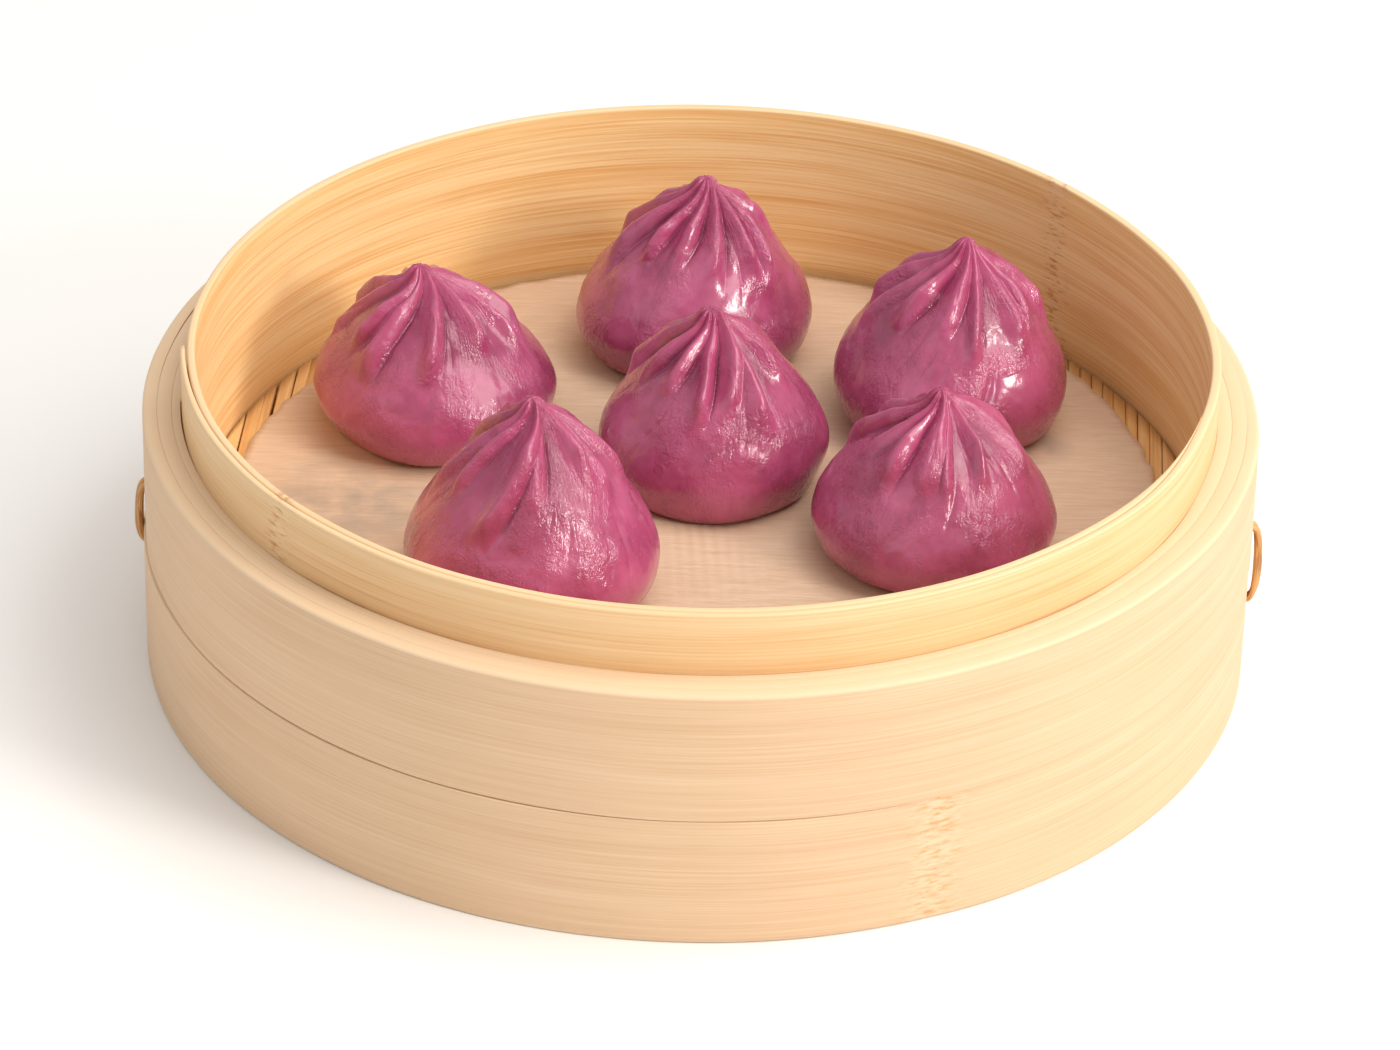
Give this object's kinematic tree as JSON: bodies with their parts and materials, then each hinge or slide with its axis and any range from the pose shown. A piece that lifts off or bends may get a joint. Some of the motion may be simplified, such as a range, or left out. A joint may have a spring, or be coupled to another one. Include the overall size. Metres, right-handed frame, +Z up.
{
  "type": "basket of xiaolongbao soup dumplings",
  "caption": "Pleated purple soup dumplings with twisted tips on a cloth liner in a round two-band bamboo steamer tier with a raised inner ring.",
  "frame": {"origin": "middle of the steamer's underside, on the surface it stands on", "axes": "+Z up through the middle of the steamer, +Y to its back, +X to its right, just behind the right-hand cane tie"},
  "size_m": [0.2136, 0.21, 0.0695],
  "materials": {
    "bamboo_band": "matte wound bamboo strip, pale, faint fibre lines",
    "bamboo_ring": "smooth planed bamboo strip, warm tan, long fine fibres",
    "bamboo_underside": "plain sawn bamboo",
    "bamboo_slats": "split bamboo, yellow-orange, dark gaps",
    "rattan": "split cane, satin",
    "steaming_cloth": "thin beige steaming cloth, matte, damp in bands",
    "purple_dough": "wet glossy steamed dough, purple-pink, mottled"
  },
  "bodies": {
    "root": {"upper_band": "bamboo_band", "lower_band": "bamboo_band", "inner_ring": "bamboo_ring", "support_hoop": "bamboo_underside", "cross_bar_front": "bamboo_underside", "cross_bar_middle": "bamboo_underside", "cross_bar_back": "bamboo_underside", "slat_mat": "bamboo_slats", "liner": "steaming_cloth", "tie_left": "rattan", "tie_right": "rattan", "dumpling_back": "purple_dough", "dumpling_left": "purple_dough", "dumpling_right": "purple_dough", "dumpling_front_left": "purple_dough", "dumpling_middle": "purple_dough", "dumpling_front_right": "purple_dough"}
  },
  "joints": []
}
